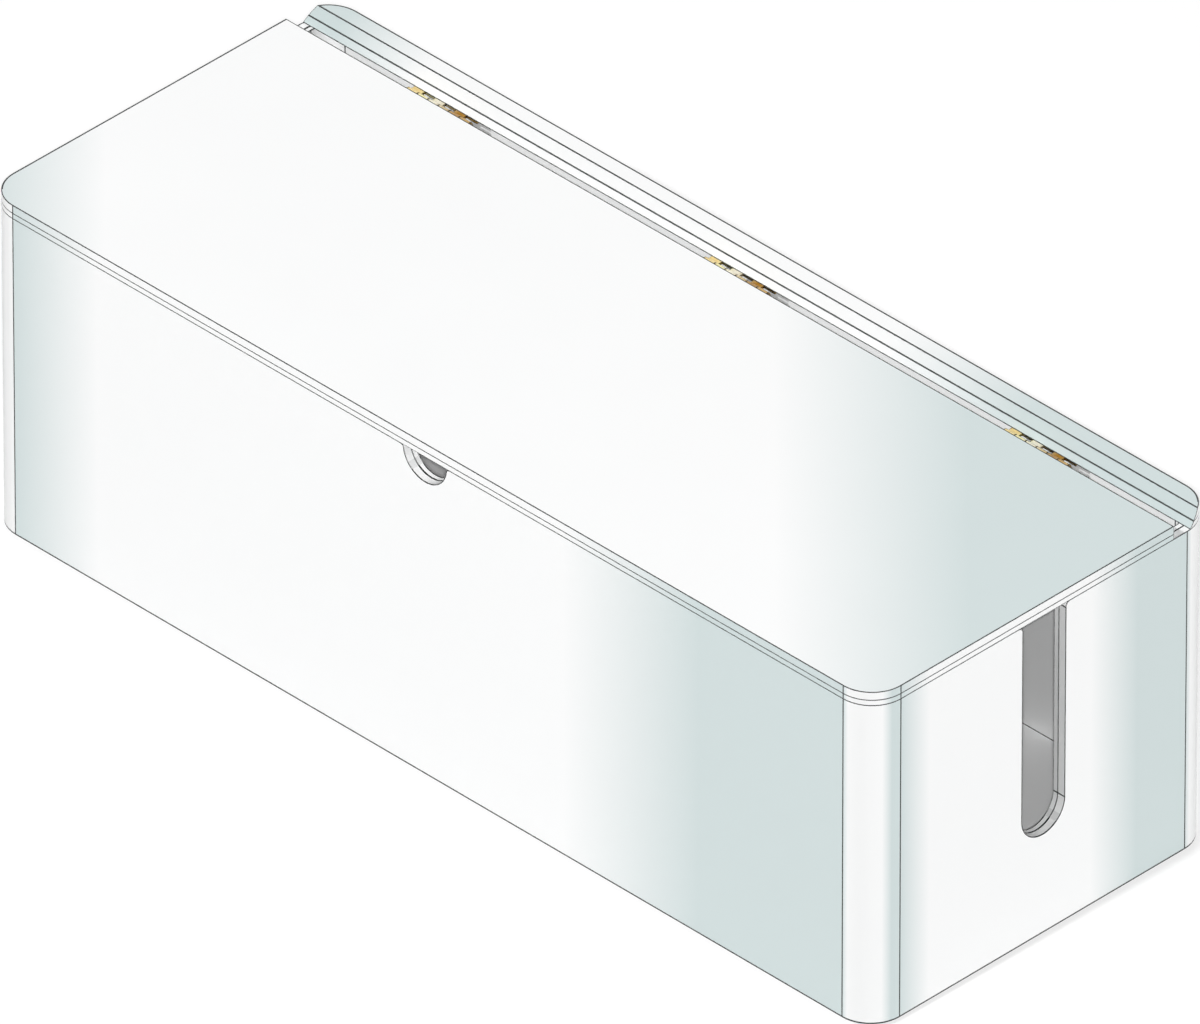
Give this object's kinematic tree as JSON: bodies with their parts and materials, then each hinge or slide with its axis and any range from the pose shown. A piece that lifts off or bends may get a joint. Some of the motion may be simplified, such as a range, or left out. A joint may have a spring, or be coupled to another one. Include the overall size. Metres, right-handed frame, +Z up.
{
  "type": "cable management box",
  "caption": "Long white box with rounded corners that hides a power strip: lid hinged along a fixed rear rail, finger notch in front, cable slots in the ends.",
  "frame": {"origin": "bottom centre of the box, on the surface that its feet stand on", "axes": "+X to the right along the length, +Y to the back, +Z up; the finger notch faces -Y"},
  "size_m": [0.3938, 0.1524, 0.1285],
  "materials": {
    "gloss_white": "gloss white sheet with a faint cool grey-green tint towards its ends",
    "liner_white": "satin white sheet",
    "brass": "rolled brass, polished",
    "brass_pin": "drawn brass, peened ends",
    "brass_screw": "turned brass",
    "rubber": "matt moulded rubber"
  },
  "bodies": {
    "case": {"outer_shell": "gloss_white", "inner_liner": "liner_white", "rail_cap": "gloss_white", "rail_base": "liner_white", "left_hinge_case_leaf": "brass", "middle_hinge_case_leaf": "brass", "right_hinge_case_leaf": "brass", "left_hinge_pin": "brass_pin", "middle_hinge_pin": "brass_pin", "right_hinge_pin": "brass_pin", "left_hinge_case_screws": "brass_screw", "middle_hinge_case_screws": "brass_screw", "right_hinge_case_screws": "brass_screw", "front_left_foot": "rubber", "front_right_foot": "rubber", "rear_left_foot": "rubber", "rear_right_foot": "rubber"},
    "lid": {"lid_panel": "gloss_white", "lid_backing": "liner_white", "left_hinge_lid_leaf": "brass", "middle_hinge_lid_leaf": "brass", "right_hinge_lid_leaf": "brass", "left_hinge_lid_screws": "brass_screw", "middle_hinge_lid_screws": "brass_screw", "right_hinge_lid_screws": "brass_screw"}
  },
  "joints": [
    {"name": "lid_hinge", "type": "hinge", "parent": "case", "child": "lid", "pos_m": [0, 0.0616, 0.1232], "axis": [-1, 0, 0], "range_deg": [0, 100]}
  ]
}
